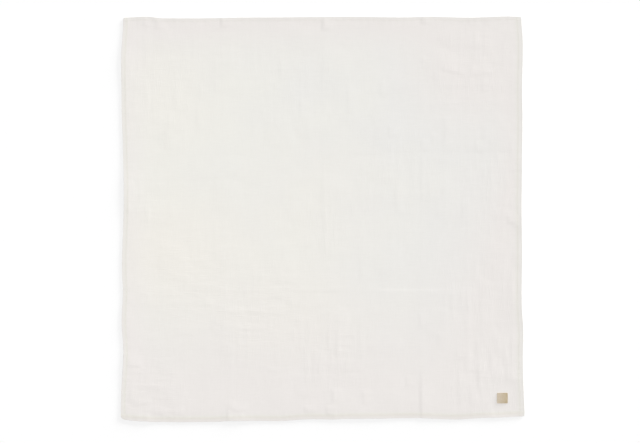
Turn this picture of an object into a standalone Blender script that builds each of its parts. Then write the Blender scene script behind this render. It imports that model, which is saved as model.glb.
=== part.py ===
"""Muslin swaddle blanket, laid out on a flat surface: one square cloth with turned hems, and a small label.

Metres, +Z up. The origin is on the surface, under the middle of the cloth. X runs across the cloth's
width and Y along its length, and the label is in the corner at +X, -Y. The cloth is an open surface, its
underside, which a Solidify modifier makes as thick as the cloth is, and thicker along the hems.
"""

import math
from collections import namedtuple

import bmesh
import bpy
import numpy as np

# ---- Driving dimensions --------------------------------------------------------------------------------

CLOTH_WIDTH = 1.160  # X, between the outermost points of the two side hems
CLOTH_LENGTH = 1.166  # Y, between the outermost points of the two end hems
CLOTH_THICKNESS = 0.0012  # crinkled cotton muslin, two layers woven as one
HEM_WIDTH = 0.0128  # the turned edge, stitched down all round
HEM_THICKNESS = 0.0024  # the cloth and its turning
HEM_ROUND = 0.002  # the outer edge rounds over within this width
HEM_ROUND_SHARE = 0.6  # of the hem's thickness, left at the very edge
HEM_STEP = 0.002  # the hem's inner edge steps down to the cloth within this width
HEM_CORNER_THICKNESS = 0.0030  # where a side hem crosses an end hem
GRID_STEP = 0.033  # widest spacing of the grid's lines in the plain cloth

LABEL_WIDTH = 0.031
LABEL_LENGTH = 0.030
LABEL_THICKNESS = 0.0010
LABEL_CORNER_RADIUS = 0.0025
LABEL_CORNER_STEPS = 6
LABEL_EDGE_RADIUS = 0.0003
LABEL_FROM_SIDE = 0.064  # the label's middle, in from the outermost point of the side at +X
LABEL_FROM_END = 0.069  # and from the outermost point of the end at -Y
LABEL_SEAM_GAP = 0.0003  # between the cloth and the label sewn on it
LABEL_FLAT_REACH = 0.030  # the cloth lies flat this far round the label's middle
LABEL_FLAT_FADE = 0.045  # and rises into its folds over this much more

# ---- The outline ---------------------------------------------------------------------------------------

# One row for each place where an edge is furthest in or out. "along" runs in +X or +Y from the cloth's
# middle, and "inset" is how far the edge lies inside the cloth's outermost point on that side.
EdgePoint = namedtuple("EdgePoint", "along inset")

LEFT_EDGE = (  # at -X
    EdgePoint(-0.583, 0.0000),
    EdgePoint(-0.530, 0.0000),
    EdgePoint(-0.383, 0.0070),
    EdgePoint(-0.291, 0.0023),
    EdgePoint(-0.210, 0.0058),
    EdgePoint(-0.141, 0.0032),
    EdgePoint(0.066, 0.0087),
    EdgePoint(0.112, 0.0081),
    EdgePoint(0.204, 0.0057),
    EdgePoint(0.319, 0.0022),
    EdgePoint(0.450, 0.0008),
    EdgePoint(0.583, 0.0064),
)
RIGHT_EDGE = (  # at +X
    EdgePoint(-0.583, 0.0000),
    EdgePoint(-0.400, 0.0046),
    EdgePoint(-0.331, 0.0032),
    EdgePoint(-0.230, 0.0082),
    EdgePoint(-0.090, 0.0067),
    EdgePoint(0.014, 0.0082),
    EdgePoint(0.152, 0.0072),
    EdgePoint(0.290, 0.0057),
    EdgePoint(0.360, 0.0069),
    EdgePoint(0.498, 0.0046),
    EdgePoint(0.583, 0.0090),
)
NEAR_EDGE = (  # at -Y, the lower edge seen from above
    EdgePoint(-0.580, 0.0078),
    EdgePoint(-0.530, 0.0029),
    EdgePoint(-0.484, 0.0006),
    EdgePoint(-0.409, 0.0000),
    EdgePoint(-0.323, 0.0006),
    EdgePoint(-0.254, 0.0035),
    EdgePoint(-0.185, 0.0037),
    EdgePoint(-0.139, 0.0029),
    EdgePoint(-0.023, 0.0086),
    EdgePoint(0.023, 0.0075),
    EdgePoint(0.069, 0.0095),
    EdgePoint(0.138, 0.0101),
    EdgePoint(0.264, 0.0118),
    EdgePoint(0.379, 0.0078),
    EdgePoint(0.483, 0.0127),
    EdgePoint(0.580, 0.0165),
)
FAR_EDGE = (  # at +Y
    EdgePoint(-0.580, 0.0030),
    EdgePoint(-0.510, 0.0006),
    EdgePoint(-0.455, 0.0050),
    EdgePoint(-0.363, 0.0052),
    EdgePoint(-0.220, 0.0029),
    EdgePoint(0.086, 0.0010),
    EdgePoint(0.225, 0.0026),
    EdgePoint(0.310, 0.0007),
    EdgePoint(0.420, 0.0032),
    EdgePoint(0.535, 0.0000),
    EdgePoint(0.580, 0.0012),
)
EDGE_FADE = 0.140  # an edge's waver dies out this far inside its hem

# One row for each corner: the side it is on, the end it is on, how far along its edges it is drawn in,
# and by how much.
Corner = namedtuple("Corner", "side end reach draw_in")

CORNERS = (
    Corner(-1, -1, 0.0120, 0.0030),
    Corner(1, -1, 0.0080, 0.0008),
    Corner(-1, 1, 0.0080, 0.0012),
    Corner(1, 1, 0.0080, 0.0012),
)

# ---- The folds -----------------------------------------------------------------------------------------

# The blanket was pressed in four across and in three along, and each fold stands as a low ridge. One row
# for each fold: where it crosses the -X or -Y edge and the +X or +Y edge, measured from the cloth's
# middle, the ridge's half width, and its height at its start, middle and end.
Fold = namedtuple("Fold", "start end half_width rise_start rise_middle rise_end")

FOLDS_ALONG_Y = (
    Fold(-0.270, -0.289, 0.016, 0.0012, 0.0005, 0.0010),
    Fold(0.025, 0.002, 0.017, 0.0013, 0.0008, 0.0016),
    Fold(0.285, 0.288, 0.016, 0.0013, 0.0007, 0.0011),
)
FOLDS_ALONG_X = (
    Fold(-0.202, -0.207, 0.017, 0.0005, 0.0014, 0.0009),
    Fold(0.190, 0.194, 0.016, 0.0005, 0.0007, 0.0012),
)
FOLD_LINES = (-1.0, -0.4, 0.0, 0.4, 1.0)  # grid lines across a ridge, in half widths
FOLD_CREST_POWER = 1.7  # how hollow the ridge's flanks are
FOLD_WAVES = 7  # times that a ridge swells and sinks along its length
FOLD_WAVE_SHARE = 0.25  # of its height

# Shallow waves in the hems. One row for each: the edge it is on, its middle along that edge, half its
# length, its height, and how far in it reaches.
Wave = namedtuple("Wave", "edge along half_length rise reach")

WAVES = (
    Wave("left", 0.083, 0.110, 0.0026, 0.090),
    Wave("left", -0.423, 0.080, 0.0019, 0.070),
    Wave("left", 0.470, 0.090, 0.0013, 0.060),
    Wave("right", -0.008, 0.060, 0.0022, 0.050),
    Wave("right", -0.250, 0.090, 0.0019, 0.080),
    Wave("right", 0.330, 0.080, 0.0014, 0.060),
    Wave("near", -0.240, 0.070, 0.0022, 0.055),
    Wave("near", -0.520, 0.060, 0.0020, 0.070),
    Wave("near", 0.110, 0.110, 0.0015, 0.060),
    Wave("near", 0.500, 0.080, 0.0020, 0.030),
    Wave("far", -0.500, 0.060, 0.0021, 0.050),
    Wave("far", -0.150, 0.090, 0.0011, 0.060),
    Wave("far", 0.150, 0.080, 0.0014, 0.060),
    Wave("far", 0.455, 0.080, 0.0018, 0.060),
)

# Between the folds the cloth rises off the surface in broad, low swells. One row for each family of
# crossed waves: their lengths, where they start in radians, and their height.
Swell = namedtuple("Swell", "length_x length_y turn_x turn_y rise")

SWELLS = (
    Swell(0.310, 0.370, 0.9, 0.4, 0.0009),
    Swell(0.430, 0.250, 2.2, 1.1, 0.0007),
)
SWELL_FLOOR = 0.45  # of a swell's full height, below which the cloth lies flat

# ---- Colours -------------------------------------------------------------------------------------------

MUSLIN_COLOUR = (0.84, 0.82, 0.79)  # undyed, off-white
LABEL_COLOUR = (0.60, 0.50, 0.38)  # beige


def eased(places, stops, values):
    """Values at the places, carried from each stop to the next on half a cosine wave."""
    stops, values = np.array(stops), np.array(values)
    before = np.clip(np.searchsorted(stops, places) - 1, 0, len(stops) - 2)
    share = np.clip((places - stops[before]) / (stops[before + 1] - stops[before]), 0, 1)
    return values[before] + (values[before + 1] - values[before]) * (1 - np.cos(np.pi * share)) / 2


def fixed_lines(span, middles, folds):
    """Grid lines that the cloth's section needs: across each hem, and across each fold's ridge."""
    hem = np.array([0, HEM_ROUND, HEM_WIDTH - HEM_STEP, HEM_WIDTH])
    ridges = [middle + fold.half_width * np.array(FOLD_LINES) for middle, fold in zip(middles, folds)]
    return np.concatenate([hem - span / 2, *ridges, span / 2 - hem[::-1]])


def grid_lines(span, folds):
    """Grid lines at the folds' starts and at their ends, with even steps between the fixed ones."""
    start = fixed_lines(span, [fold.start for fold in folds], folds)
    end = fixed_lines(span, [fold.end for fold in folds], folds)
    counts = np.ceil(np.diff((start + end) / 2) / GRID_STEP).astype(int)
    places = np.concatenate([line + np.arange(count) / count for line, count in enumerate(counts)])
    places = np.append(places, len(counts))
    numbers = np.arange(len(start))
    return np.interp(places, numbers, start), np.interp(places, numbers, end)


def grid_points():
    """X and Y of the grid's points, as two arrays: its lines slant as the folds do."""
    x_start, x_end = grid_lines(CLOTH_WIDTH, FOLDS_ALONG_Y)
    y_start, y_end = grid_lines(CLOTH_LENGTH, FOLDS_ALONG_X)
    x_share = (x_start + x_end) / 2 / CLOTH_WIDTH + 0.5
    y_share = (y_start + y_end) / 2 / CLOTH_LENGTH + 0.5
    x = x_start[:, None] + np.outer(x_end - x_start, y_share)
    y = y_start[None, :] + np.outer(x_share, y_end - y_start)
    return x, y


def fold_rise(across, along, span, folds):
    """Height of the folds that run one way: each ridge falls hollowly from its crest to its foot."""
    share = along / span + 0.5
    rise = np.zeros_like(across)
    for number, fold in enumerate(folds):
        middle = fold.start + (fold.end - fold.start) * share
        off_crest = np.clip(np.abs(across - middle) / fold.half_width, 0, 1)
        height = eased(share, (0, 0.5, 1), (fold.rise_start, fold.rise_middle, fold.rise_end))
        unevenness = 1 + FOLD_WAVE_SHARE * np.sin(2 * np.pi * FOLD_WAVES * share + number)
        rise = np.maximum(rise, height * unevenness * (1 - off_crest) ** FOLD_CREST_POWER)
    return rise


def wave_rise(x, y):
    """Height of the waves in the hems: half a cosine wave along the edge, dying out inside the cloth."""
    from_edge = {
        "left": (CLOTH_WIDTH / 2 + x, y),
        "right": (CLOTH_WIDTH / 2 - x, y),
        "near": (CLOTH_LENGTH / 2 + y, x),
        "far": (CLOTH_LENGTH / 2 - y, x),
    }
    rise = np.zeros_like(x)
    for wave in WAVES:
        inside, along = from_edge[wave.edge]
        off_middle = np.clip((along - wave.along) / wave.half_length, -1, 1)
        fade = np.clip(1 - inside / wave.reach, 0, 1)
        rise += wave.rise * np.cos(off_middle * np.pi / 2) ** 2 * fade**2
    return rise


def swell_rise(x, y):
    """Height of the broad swells: the tops of crossed sine waves, and flat between them."""
    rise = np.zeros_like(x)
    for swell in SWELLS:
        across = np.sin(2 * np.pi * x / swell.length_x + swell.turn_x)
        along = np.sin(2 * np.pi * y / swell.length_y + swell.turn_y)
        top = np.clip((across * along - SWELL_FLOOR) / (1 - SWELL_FLOOR), 0, 1)
        rise = np.maximum(rise, swell.rise * eased(top, (0, 1), (0, 1)))
    return rise


def label_middle():
    return CLOTH_WIDTH / 2 - LABEL_FROM_SIDE, LABEL_FROM_END - CLOTH_LENGTH / 2


def underside_height(x, y):
    """Height of the cloth's underside: the folds, waves and swells, with none of them under the label."""
    rise = np.maximum(
        fold_rise(x, y, CLOTH_LENGTH, FOLDS_ALONG_Y),
        fold_rise(y, x, CLOTH_WIDTH, FOLDS_ALONG_X),
    )
    rise = np.maximum(rise, swell_rise(x, y)) + wave_rise(x, y)
    label_x, label_y = label_middle()
    off_label = np.hypot(x - label_x, y - label_y)
    label_flat = eased(off_label, (LABEL_FLAT_REACH, LABEL_FLAT_REACH + LABEL_FLAT_FADE), (0, 1))
    return rise * label_flat


def thickness(x, y):
    """Thickness of the cloth: more in the hems, rounded outside and stepped inside."""
    from_side = CLOTH_WIDTH / 2 - np.abs(x)
    from_end = CLOTH_LENGTH / 2 - np.abs(y)
    stops = (0, HEM_ROUND, HEM_WIDTH - HEM_STEP, HEM_WIDTH)
    layers = (HEM_ROUND_SHARE * HEM_THICKNESS, HEM_THICKNESS, HEM_THICKNESS, CLOTH_THICKNESS)
    thick = np.interp(np.minimum(from_side, from_end), stops, layers)
    crossing = np.interp(np.maximum(from_side, from_end), stops[2:], (1, 0))
    return thick + crossing * (HEM_CORNER_THICKNESS - HEM_THICKNESS)


def edge_inset(edge, along):
    """How far an edge lies in from its outermost point, which is a point of the grid."""
    inset = eased(along, [point.along for point in edge], [point.inset for point in edge])
    return inset - inset.min()


def drawn_in(x, y):
    """Moves the square grid's points to the cloth's uneven outline, less and less towards its middle."""
    from_left, from_right = CLOTH_WIDTH / 2 + x, CLOTH_WIDTH / 2 - x
    from_near, from_far = CLOTH_LENGTH / 2 + y, CLOTH_LENGTH / 2 - y

    def fade(inside):
        return np.clip(1 - np.maximum(inside - HEM_WIDTH, 0) / EDGE_FADE, 0, 1) ** 2

    new_x = x + edge_inset(LEFT_EDGE, y) * fade(from_left) - edge_inset(RIGHT_EDGE, y) * fade(from_right)
    new_y = y + edge_inset(NEAR_EDGE, x) * fade(from_near) - edge_inset(FAR_EDGE, x) * fade(from_far)
    for corner in CORNERS:
        inside_side = from_left if corner.side < 0 else from_right
        inside_end = from_near if corner.end < 0 else from_far
        pull = np.clip(1 - inside_side / corner.reach, 0, 1) * np.clip(1 - inside_end / corner.reach, 0, 1)
        new_x -= corner.side * corner.draw_in * pull**2
        new_y -= corner.end * corner.draw_in * pull**2
    return new_x, new_y


def plain_material(name, colour, roughness):
    material = bpy.data.materials.new(name)
    material.use_nodes = True
    shader = material.node_tree.nodes["Principled BSDF"]
    shader.inputs["Base Color"].default_value = (*colour, 1)
    shader.inputs["Roughness"].default_value = roughness
    shader.inputs["Metallic"].default_value = 0
    return material


def add_object(name, shape, collection, material):
    """Makes a mesh object from a bmesh, and frees it."""
    mesh = bpy.data.meshes.new(name)
    shape.to_mesh(mesh)
    shape.free()
    mesh.materials.append(material)
    piece = bpy.data.objects.new(name, mesh)
    collection.objects.link(piece)
    return piece


def make_cloth(collection):
    """The muslin sheet: a grid moved to the cloth's underside, then given the cloth's thickness upwards."""
    x, y = grid_points()
    columns, rows = x.shape
    grid = bmesh.new()
    bmesh.ops.create_grid(grid, x_segments=columns - 1, y_segments=rows - 1, size=0.5)
    cloth = add_object("muslin_cloth", grid, collection, plain_material("muslin", MUSLIN_COLOUR, 0.95))

    points = np.empty(len(cloth.data.vertices) * 3)
    cloth.data.vertices.foreach_get("co", points)
    points = points.reshape(-1, 3)
    column = np.rint((points[:, 0] + 0.5) * (columns - 1)).astype(int)
    row = np.rint((points[:, 1] + 0.5) * (rows - 1)).astype(int)
    new_x, new_y = drawn_in(x, y)
    placed = np.stack([new_x, new_y, underside_height(x, y)], axis=-1)[column, row]
    cloth.data.vertices.foreach_set("co", placed.ravel())

    layers = cloth.vertex_groups.new(name="layers")
    for number, share in enumerate(thickness(x, y)[column, row] / HEM_CORNER_THICKNESS):
        layers.add([number], share, "REPLACE")
    solidify = cloth.modifiers.new("thickness", "SOLIDIFY")
    solidify.thickness = HEM_CORNER_THICKNESS
    solidify.offset = 1
    solidify.vertex_group = layers.name
    cloth.data.shade_smooth()


def make_label(collection):
    """The label: a thin plate with round corners and softened edges, just clear of the cloth below it."""
    plate = bmesh.new()
    bmesh.ops.create_cube(plate, size=1)
    bmesh.ops.scale(plate, vec=(LABEL_WIDTH, LABEL_LENGTH, LABEL_THICKNESS), verts=plate.verts)
    uprights = [edge for edge in plate.edges if abs(edge.verts[0].co.z - edge.verts[1].co.z) > 0]
    bmesh.ops.bevel(
        plate,
        geom=uprights,
        offset=LABEL_CORNER_RADIUS,
        segments=LABEL_CORNER_STEPS,
        profile=0.5,
        affect="EDGES",
    )
    label = add_object("label_patch", plate, collection, plain_material("label", LABEL_COLOUR, 0.75))

    soft_edge = label.modifiers.new("soft_edge", "BEVEL")
    soft_edge.width = LABEL_EDGE_RADIUS
    soft_edge.segments = 2
    soft_edge.limit_method = "ANGLE"
    soft_edge.angle_limit = math.radians(45)
    label_x, label_y = label_middle()
    label.location = (label_x, label_y, CLOTH_THICKNESS + LABEL_SEAM_GAP + LABEL_THICKNESS / 2)


def make_blanket():
    for old in list(bpy.data.objects):
        bpy.data.objects.remove(old, do_unlink=True)
    blanket = bpy.data.collections.new("swaddle_blanket")
    bpy.context.scene.collection.children.link(blanket)
    make_cloth(blanket)
    make_label(blanket)


make_blanket()
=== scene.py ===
"""The looks of a muslin swaddle blanket laid out flat: its crinkled cloth on its pressed folds, the sewing
of its four hems, and the small leatherette patch sewn on near one corner.

Metres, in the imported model's frame: the origin on the surface under the cloth's middle, X across the cloth,
Y along it and +Z up. Only the rows of the tables are in millimetres. The cloth's shape is a height above the
surface worked out, on whole arrays, from the X and Y of each point before the outline is drawn in.
"""

import math
from collections import namedtuple

import bpy
import numpy as np
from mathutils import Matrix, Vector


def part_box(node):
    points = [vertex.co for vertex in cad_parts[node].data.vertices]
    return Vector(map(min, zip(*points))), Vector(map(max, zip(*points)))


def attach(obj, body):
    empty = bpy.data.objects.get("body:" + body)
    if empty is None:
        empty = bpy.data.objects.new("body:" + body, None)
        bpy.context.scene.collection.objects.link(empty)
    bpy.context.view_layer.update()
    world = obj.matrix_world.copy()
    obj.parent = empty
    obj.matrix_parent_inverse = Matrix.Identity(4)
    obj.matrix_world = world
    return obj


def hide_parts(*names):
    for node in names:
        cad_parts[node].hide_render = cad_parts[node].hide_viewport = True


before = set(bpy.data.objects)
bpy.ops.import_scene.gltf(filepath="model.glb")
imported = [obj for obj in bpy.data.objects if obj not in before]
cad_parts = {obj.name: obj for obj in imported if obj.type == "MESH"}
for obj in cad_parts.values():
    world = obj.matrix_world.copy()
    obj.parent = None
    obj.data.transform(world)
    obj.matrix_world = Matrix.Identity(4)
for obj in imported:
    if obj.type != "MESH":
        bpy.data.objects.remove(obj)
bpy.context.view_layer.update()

MM = 0.001


def table(columns, *groups, defaults=()):
    """One row for each group of values, with these names for its columns and these values for the last ones
    if they are left out. All lengths in the rows are in millimetres."""
    row = namedtuple("Row", columns, defaults=defaults)
    return tuple(row(*group) for group in groups)


# ---- The cloth ----

cloth_low, cloth_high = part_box("muslin_cloth")
CLOTH_WIDTH = cloth_high.x - cloth_low.x
CLOTH_LENGTH = cloth_high.y - cloth_low.y
CLOTH_THICKNESS = 1.2 * MM
TOP_STEP = 4.15 * MM  # widest spacing of the top's grid lines
UNDERSIDE_STRIDE = 6  # the underside has one line for this many of the top's
UNDERSIDE_START = 6  # and its grid starts this many of the top's lines in
RIM_TUCK = 0.8 * MM  # the underside starts this far in from the edge

# One row for each hem: its width, how much of the hem's deeper tone and of its seam's painted shade it has,
# how far inside its seam that tone dies out, in its widths, and how much painted shade its rolled outer edge
# has.
# The hems are stiffer than the cloth, so each also stands a little off the surface, by its first lift and
# then by its last.
Hem = namedtuple("Hem", "width tone fade edge_tone first_lift last_lift")

HEMS = {
    "left": Hem(12.6 * MM, 0.95, 0.35, 0.0, 1.0 * MM, 1.0 * MM),
    "right": Hem(15.4 * MM, 0.65, 0.80, 0.7, 0.3 * MM, 0.3 * MM),
    "near": Hem(14.2 * MM, 1.0, 0.80, 0.0, 0.9 * MM, 0.6 * MM),
    "far": Hem(10.6 * MM, 0.15, 0.80, 0.45, 0.3 * MM, 0.3 * MM),
}
LIFT_CHANGE = (0.340, 0.480)  # the stretch along an edge where its lift changes
HEM_LIFT_REACH = 100 * MM
HEM_ROUND = 0.4 * MM  # its outer edge rounds over within this width
EDGE_DROP = 0.3 * MM  # and comes down by this much
HEM_UP = 0.10 * MM  # the turned layers lie under the cloth, so a hem stands this little above its face
HEM_DOWN = 1.0 * MM  # and this far below its back
HEM_CROSSING = 0.10 * MM  # more where a side hem crosses an end hem
SEAM_DEPTH = 0.06 * MM  # of the groove that the thread pulls into the hem
OUTER_EDGE_SHADE_WIDTH = 8.0 * MM  # of the painted shade on its rolled outer edge

# The rest of a hem's section, in shares of its width.
HEM_STEP = 0.35  # its inner edge slopes down to the cloth within this much
SEAM_INSIDE = 0.83  # the line of stitches, in from the outer edge
SEAM_WIDTH = 0.125  # of its groove, to each side
SEAM_SHADE_WIDTH = 0.175  # and of the painted shade in the groove
TONE_AT_EDGE = 0.1  # share of the hem's tone that its outer edge has

# One row for each place where an edge is furthest in or out: how far along it is from the cloth's middle,
# and how far the edge lies inside its outermost point. The solid cloth has the same rows.
LEFT_EDGE = table(  # at -X
    "along inset",
    (-583, 0.0), (-530, 0.0), (-383, 7.0), (-291, 2.3), (-210, 5.8),
    (-141, 3.2), (66, 8.7), (112, 8.1), (204, 5.7), (319, 2.2),
    (450, 0.8), (583, 6.4),
)
RIGHT_EDGE = table(  # at +X
    "along inset",
    (-583, 0.0), (-400, 4.6), (-331, 3.2), (-230, 8.2), (-90, 6.7),
    (14, 8.2), (152, 7.2), (290, 5.7), (360, 6.9), (498, 4.6),
    (583, 9.0),
)
NEAR_EDGE = table(  # at -Y, the lower edge of the view from above
    "along inset",
    (-580, 7.8), (-530, 2.9), (-484, 0.6), (-409, 0.0), (-323, 0.6),
    (-254, 3.5), (-185, 3.7), (-139, 2.9), (-23, 8.6), (23, 7.5),
    (69, 9.5), (138, 10.1), (264, 11.8), (379, 7.8), (483, 12.7),
    (580, 16.5),
)
FAR_EDGE = table(  # at +Y
    "along inset",
    (-580, 3.0), (-510, 0.6), (-455, 5.0), (-363, 5.2), (-220, 2.9),
    (86, 1.0), (225, 2.6), (310, 0.7), (420, 3.2), (535, 0.0),
    (580, 1.2),
)
EDGE_FADE = 0.140  # an edge's waver dies out this far inside its hem
EDGE_PUCKER = 0.45 * MM  # small in-and-out of the edge, where the seam draws it up

# One row for each corner: its side, its end, how far along its edges it is drawn in, and by how much.
CORNERS = table(
    "side end reach draw_in",
    (-1, -1, 12, 3.0),
    (1, -1, 8, 0.8),
    (-1, 1, 8, 1.2),
    (1, 1, 8, 1.2),
)

# For each pressed fold: where its crest is at its start, halfway and at its end, and then a group of values
# for each place where it is highest or lowest: how far along it is from the cloth's middle, its height, and
# which flank is the steep one: the flank towards +X or +Y at 1, the other one at -1.
Fold = namedtuple("Fold", "start halfway end points")

def pressed_fold(crest, *points):
    """A fold from the three places of its crest and one group of values for each of its points."""
    return Fold(*(place * MM for place in crest), table("along rise lean", *points))


FOLDS_ALONG_Y = (
    pressed_fold(
        (-270, -280, -289),
        (-583, 0.50, -0.9), (-547, 0.45, -0.9), (-515, 0.05, -0.5),
        (-200, 0.10, -0.8), (0, 0.04, 0.0), (250, 0.07, -0.6),
        (550, 0.07, -0.9), (568, 0.30, -1.0), (583, 0.46, -1.0),
    ),
    pressed_fold(
        (32, 4, 5),
        (-583, 0.30, -0.9), (-545, 0.30, -0.9), (-502, 0.34, -1.0),
        (-480, 0.06, -0.8), (-260, 0.10, -0.8), (-115, 0.06, -0.8),
        (-85, 0.30, -1.0), (15, 0.31, -1.0), (50, 0.12, -0.9),
        (300, 0.12, -0.8), (542, 0.10, -0.9), (564, 0.46, -1.0),
        (583, 0.60, -1.0),
    ),
    pressed_fold(
        (285, 286, 288),
        (-583, 0.66, -1.0), (-530, 0.59, -1.0), (-465, 0.42, -1.0),
        (-425, 0.06, -0.8), (-100, 0.07, -0.6), (90, 0.18, -1.0),
        (165, 0.18, -1.0), (200, 0.06, 0.0), (400, 0.06, 0.6),
        (558, 0.10, -0.8), (572, 0.36, -1.0), (583, 0.50, -1.0),
    ),
)
FOLDS_ALONG_X = (
    pressed_fold(
        (-202, -205, -207),
        (-583, 0.12, -0.8), (-400, 0.07, 0.0), (-250, 0.07, -0.8),
        (-190, 0.27, -1.0), (30, 0.36, -1.0), (70, 0.10, -0.6),
        (150, 0.10, 0.8), (180, 0.36, 1.0), (320, 0.32, 1.0),
        (350, 0.10, 0.8), (583, 0.07, -0.6),
    ),
    pressed_fold(
        (190, 197, 200),
        (-583, 0.07, -0.6), (-200, 0.04, 0.0), (80, 0.07, -0.8),
        (220, 0.12, -1.0), (420, 0.13, -1.0), (583, 0.24, -1.0),
    ),
)
FOLD_STEEP = 8 * MM  # width of a fold's steep flank
FOLD_GENTLE = 90 * MM  # and of its gentle one
FOLD_CREST_POWER = 1.6  # how hollow its flanks are
FOLD_LINES = np.array([-12, -7.5, -3.5, 0, 3.5, 7.5, 12]) * MM  # grid lines on each fold, from its crest

# One row for each shallow wave in a hem: its edge, its middle along it, half its length, its height, and how
# far in it reaches.
WAVES = table(
    "edge along half_length rise reach",
    ("left", 83, 110, 1.2, 90),
    ("left", -423, 80, 0.9, 70),
    ("left", 470, 90, 0.6, 60),
    ("right", -8, 60, 1.0, 50),
    ("right", -250, 90, 0.9, 80),
    ("right", 330, 80, 0.6, 60),
    ("near", -240, 70, 1.0, 55),
    ("near", -520, 60, 0.9, 70),
    ("near", 110, 110, 0.7, 60),
    ("near", 500, 80, 0.9, 30),
    ("far", -500, 60, 0.9, 50),
    ("far", -150, 90, 0.5, 60),
    ("far", 150, 80, 0.6, 60),
    ("far", 455, 80, 0.8, 60),
)

# One row for each family of broad, low swells: its waves' lengths, where they start, and their height.
SWELLS = table(
    "length_x length_y turn_x turn_y rise",
    (310, 370, 0.9, 0.4, 0.4),
    (430, 250, 2.2, 1.1, 0.3),
)
SWELL_FLOOR = 0.45  # of a swell's full height, below which the cloth lies flat

# One row for each small crease: its middle, the way it runs in degrees from +X, its length, its height (a
# trough's is negative), how far it bows to its left at its ends, by how much its left flank is the steeper
# one, from -1 to 1, and its half width. A lean narrows the steep flank and widens the other. What a row
# leaves out at its end is in the table's defaults.
CREASES = table(
    "x y turn length rise bow lean half_width",
    (374, 425, -11, 96, 0.46, 0, -0.5),  # upper right, the longest
    (455, 418, 2, 84, 0.50, 0, -0.5),
    (462, 384, 86, 48, 0.37, 2, 0.5),
    (466, 509, 90, 96, 0.30, -2, 0.5),
    (437, 520, 90, 70, 0.24, 2, 0.5),
    (288, 449, 90, 50, 0.26),
    (190, 254, 88, 44, 0.26),  # and short ones along the upper fold
    (286, 214, 90, 40, 0.26),
    (316, 232, 92, 44, 0.26, 2, 0.5),
    (442, 208, 90, 42, 0.30),
    (-546, -421, 1, 56, 0.62, 0, -0.6),  # lower left
    (-61, 318, 90, 76, 0.26, 3, 0.4),  # upper middle
    (75, 345, 90, 118, 0.26, -3, 0.4),
    (169, 375, 90, 56, 0.26, 0, 0.4),
    (281, -513, 91, 118, 0.29, 3, 0.5),  # by the near hem
    (-242, -551, 0, 70, 0.46, 12, -0.4),  # the bowed one there
    (-520, -532, 12, 66, 0.40, 5, -0.4),  # the corner at its -X end
    (-470, -556, -8, 54, 0.35, -4, -0.4),
    (-552, -505, 84, 60, 0.29, 4, 0.5),
    (-415, -560, 4, 40, 0.35, 4, -0.4),
    (392, -470, 90, 118, 0.37, 4, 0.5),  # the crinkled corner by the patch
    (424, -510, 92, 96, 0.29, -3, 0.5),
    (449, -446, 89, 128, 0.40, 3, 0.5),
    (470, -540, 90, 60, 0.35, 2, 0.5),
    (486, -424, 91, 84, 0.31, -3, 0.4),
    (533, -432, 90, 118, 0.35, 3, 0.5),
    (556, -500, 91, 96, 0.35),
    (506, -362, 90, 70, 0.26, 2, 0.4),
    (405, -395, 2, 60, 0.29, 0, -0.4),
    (440, -436, -2, 90, 0.26, 3, -0.4),
    (553, -9, 6, 44, 0.57, 3, -0.5),  # the pucker in the right hem
    (520, 6, 10, 70, 0.29, -5, -0.4),
    (563, 176, 6, 36, 0.35, 0, -0.4),
    (-290, 569, 90, 30, 0.38),  # the far hem, where the folds cross it
    (0, 561, 90, 44, 0.58),
    (286, 572, 90, 26, 0.42),
    (-272, -566, 90, 34, 0.35),  # and the near one
    (13, -556, 90, 40, 0.52, 2, 0.5),
    (30, -510, 90, 50, 0.34),
    (117, -515, 90, 60, 0.42),
    (243, -468, 90, 46, 0.28),  # between it and the lower fold
    (444, -372, 90, 70, 0.34),
    (281, -291, 90, 52, 0.24, 0, 0.4),
    (334, -347, 90, 60, 0.24, 0, 0.4),
    (-50, -552, 90, 28, 0.40),
    (84, -432, 0, 90, 0.24, 0, -0.4),
    (-478, 566, 86, 40, 0.51, 3, 0.5),  # the far hem's -X end
    (-515, 570, 70, 30, 0.40, 3, 0.4),
    (350, 192, 0, 420, -0.10, 0, 0, 18),  # the soft trough beside the upper fold
    (-330, -205, 1, 130, 0.22, 4, -0.4),  # faint ones elsewhere
    (-160, -268, -1, 150, 0.22, -4, -0.4),
    (-400, -330, 2, 90, 0.20, 0, -0.4),
    (-240, -330, 0, 120, 0.20, 3, -0.4),
    (-110, -180, 1, 96, 0.22, -3, -0.4),
    (110, -150, 90, 90, 0.20, 3, 0.4),
    (212, 60, 90, 110, 0.22, -4, 0.4),
    (404, 20, 90, 96, 0.22, 3, 0.4),
    (352, 250, 90, 120, 0.22, 3, 0.4),
    (-360, 300, 91, 90, 0.20, -3, 0.4),
    (-450, 230, 90, 80, 0.22, 3, 0.4),
    (-330, 120, 1, 110, 0.18, 4, -0.4),
    (-120, 430, 90, 70, 0.20, 3, 0.4),
    defaults=(0, 0.5, 14),
)
CREASE_SPREAD = 1.2  # a full lean would narrow a flank by this share of it
CREASE_WIDENED = 3  # and widens the other flank by this many times as much
CREASE_ENDS = 1.6  # how soon a crease has its full height, in from its ends

# The muslin's own crinkle: the yarns shrink unevenly in the wash, which draws up short puffs with sharp
# valleys between them, that run along the cloth in some places and across it in others.
CRINKLES = table(
    "width length rise runs seed",
    (9, 60, 0.24, "along", 11),
    (9, 50, 0.24, "across", 12),
    (22, 90, 0.32, "along", 13),
    (24, 80, 0.30, "across", 14),
)
CRINKLE_FLAT = 0.40  # share of a streak's full height below which the cloth is flat
CRINKLE_LEAST = 0.20  # share of the crinkle that is left in the smoothest places

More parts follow.
